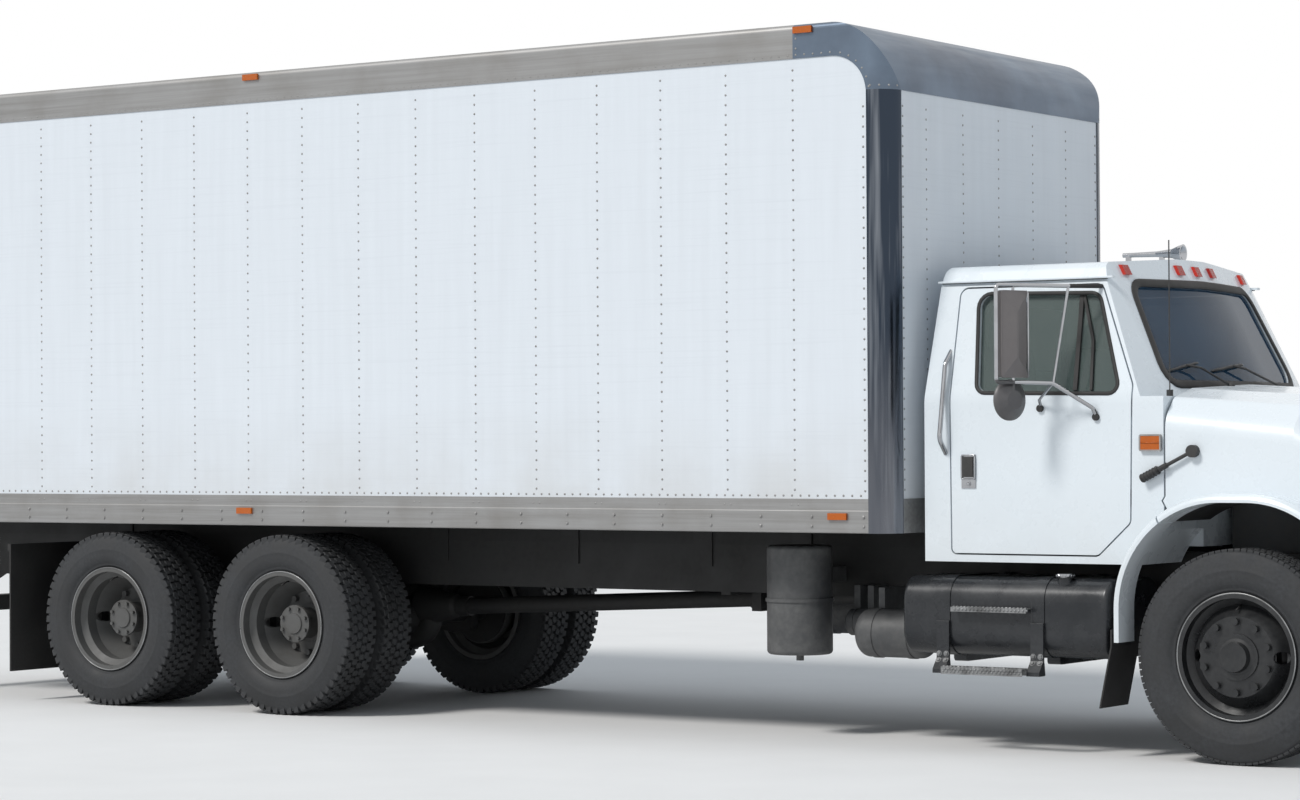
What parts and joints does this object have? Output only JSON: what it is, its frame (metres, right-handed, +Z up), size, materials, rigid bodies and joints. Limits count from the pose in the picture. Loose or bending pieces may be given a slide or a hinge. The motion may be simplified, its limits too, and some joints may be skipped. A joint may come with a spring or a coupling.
{
  "type": "box truck",
  "caption": "Bonneted box truck with a riveted van body, tandem twin-wheel rear axles, steered front wheels, opening doors and a forward-tilting hood.",
  "frame": {"origin": "on the ground below the middle of the truck's outer box", "axes": "+X forward to the front bumper, +Y to the truck's left, +Z up"},
  "size_m": [10.187, 2.7386, 3.655],
  "materials": {
    "dark_steel": "black chassis paint under road dust",
    "engine_paint": "dull grey paint",
    "tank_metal": "dull dark grey, dusty",
    "battery_box_metal": "black paint, dusty",
    "rubber": "black sheet rubber",
    "floor_steel": "dark painted steel and planks",
    "panel_white": "cool white baked paint",
    "cap_satin": "satin grey-blue sheet",
    "polished_post": "mirror-polished stainless",
    "rail_aluminium": "brushed extrusion, weathered",
    "frame_paint": "grey paint",
    "amber_lens": "amber lens",
    "red_lens": "red lens",
    "cab_white": "glossy white paint",
    "window_glass": "blue-tinted clear glass",
    "black_plastic": "black plastic",
    "chrome": "bright chrome",
    "seat_fabric": "dark grey woven cloth",
    "dash_plastic": "dark grey grained plastic",
    "fitting_steel": "steel tube and sheet",
    "headlamp_glass": "clear lens over a bright bowl",
    "knuckle_iron": "forged and black",
    "tyre": "black rubber, grey with dust",
    "front_wheel_metal": "dark grey glossy paint",
    "rear_wheel_metal": "pale grey paint under dust"
  },
  "bodies": {
    "truck": {"air_tanks": "tank_metal", "amber_lamps": "amber_lens", "battery_box": "battery_box_metal", "body_floor": "floor_steel", "body_front_cap": "cap_satin", "body_front_posts": "polished_post", "body_rails": "rail_aluminium", "body_rear_frame": "frame_paint", "body_roof": "panel_white", "body_walls": "panel_white", "cab_glass": "window_glass", "cab_roof": "cab_white", "cab_shell": "cab_white", "dashboard": "dash_plastic", "drive_axles": "dark_steel", "driveline": "dark_steel", "engine": "engine_paint", "exhaust": "dark_steel", "frame_rails": "dark_steel", "front_axle": "dark_steel", "front_bumper": "chrome", "fuel_tank": "tank_metal", "horn_and_grab_handles": "chrome", "mud_flaps": "rubber", "radiator": "dark_steel", "rear_bumper": "dark_steel", "rear_suspension": "dark_steel", "red_lamps": "red_lens", "seats": "seat_fabric", "tank_straps_and_steps": "dark_steel", "wipers_and_antenna": "black_plastic"},
    "knuckle_right": {"knuckle_right": "knuckle_iron"},
    "knuckle_left": {"knuckle_left": "knuckle_iron"},
    "tie_rod": {"tie_rod": "knuckle_iron"},
    "front_wheel_right": {"front_wheel_right": "front_wheel_metal", "front_tyre_right": "tyre"},
    "forward_wheel_right": {"forward_wheel_right": "rear_wheel_metal", "forward_tyres_right": "tyre"},
    "rear_wheel_right": {"rear_wheel_right": "rear_wheel_metal", "rear_tyres_right": "tyre"},
    "cab_door_right": {"cab_door_right": "cab_white", "door_glass_right": "window_glass", "door_fittings_right": "fitting_steel"},
    "rear_door_right": {"rear_door_right": "panel_white"},
    "front_wheel_left": {"front_wheel_left": "front_wheel_metal", "front_tyre_left": "tyre"},
    "forward_wheel_left": {"forward_wheel_left": "rear_wheel_metal", "forward_tyres_left": "tyre"},
    "rear_wheel_left": {"rear_wheel_left": "rear_wheel_metal", "rear_tyres_left": "tyre"},
    "cab_door_left": {"cab_door_left": "cab_white", "door_glass_left": "window_glass", "door_fittings_left": "fitting_steel"},
    "rear_door_left": {"rear_door_left": "panel_white"},
    "hood": {"hood_shell": "cab_white", "hood_liners": "black_plastic", "grille": "black_plastic", "headlamps": "headlamp_glass"}
  },
  "joints": [
    {"name": "steer_right", "type": "hinge", "parent": "truck", "child": "knuckle_right", "pos_m": [4.0955, -0.88, 0.51], "axis": [0, 0, 1], "range_deg": [-35, 35]},
    {"name": "steer_left", "type": "hinge", "parent": "truck", "child": "knuckle_left", "pos_m": [4.0955, 0.88, 0.51], "axis": [0, 0, 1], "range_deg": [-35, 35]},
    {"name": "tie_rod_pivot", "type": "hinge", "parent": "knuckle_right", "child": "tie_rod", "pos_m": [3.9255, -0.88, 0.396], "axis": [0, 0, 1], "range_deg": [-35, 35]},
    {"name": "front_wheel_right_spin", "type": "hinge", "parent": "knuckle_right", "child": "front_wheel_right", "pos_m": [4.0955, -1.016, 0.51], "axis": [0, 1, 0], "continuous": true},
    {"name": "forward_wheel_right_spin", "type": "hinge", "parent": "truck", "child": "forward_wheel_right", "pos_m": [-1.7145, -0.929, 0.51], "axis": [0, 1, 0], "continuous": true},
    {"name": "rear_wheel_right_spin", "type": "hinge", "parent": "truck", "child": "rear_wheel_right", "pos_m": [-3.0345, -0.929, 0.51], "axis": [0, 1, 0], "continuous": true},
    {"name": "cab_door_right_hinge", "type": "hinge", "parent": "truck", "child": "cab_door_right", "pos_m": [3.5375, -0.984, 1.47], "axis": [0, 0, 1], "range_deg": [0, 70]},
    {"name": "rear_door_right_hinge", "type": "hinge", "parent": "truck", "child": "rear_door_right", "pos_m": [-5.0505, -1.232, 2.35], "axis": [0, 0, 1], "range_deg": [0, 250]},
    {"name": "front_wheel_left_spin", "type": "hinge", "parent": "knuckle_left", "child": "front_wheel_left", "pos_m": [4.0955, 1.016, 0.51], "axis": [0, 1, 0], "continuous": true},
    {"name": "forward_wheel_left_spin", "type": "hinge", "parent": "truck", "child": "forward_wheel_left", "pos_m": [-1.7145, 0.929, 0.51], "axis": [0, 1, 0], "continuous": true},
    {"name": "rear_wheel_left_spin", "type": "hinge", "parent": "truck", "child": "rear_wheel_left", "pos_m": [-3.0345, 0.929, 0.51], "axis": [0, 1, 0], "continuous": true},
    {"name": "cab_door_left_hinge", "type": "hinge", "parent": "truck", "child": "cab_door_left", "pos_m": [3.5375, 0.984, 1.47], "axis": [0, 0, -1], "range_deg": [0, 70]},
    {"name": "rear_door_left_hinge", "type": "hinge", "parent": "truck", "child": "rear_door_left", "pos_m": [-5.0505, 1.232, 2.35], "axis": [0, 0, -1], "range_deg": [0, 250]},
    {"name": "hood_tilt", "type": "hinge", "parent": "truck", "child": "hood", "pos_m": [4.8935, 0, 0.76], "axis": [0, 1, 0], "range_deg": [0, 65]}
  ],
  "couplings": [
    {"joint": "steer_left", "follows": "steer_right", "ratio": 1},
    {"joint": "tie_rod_pivot", "follows": "steer_right", "ratio": -1}
  ]
}
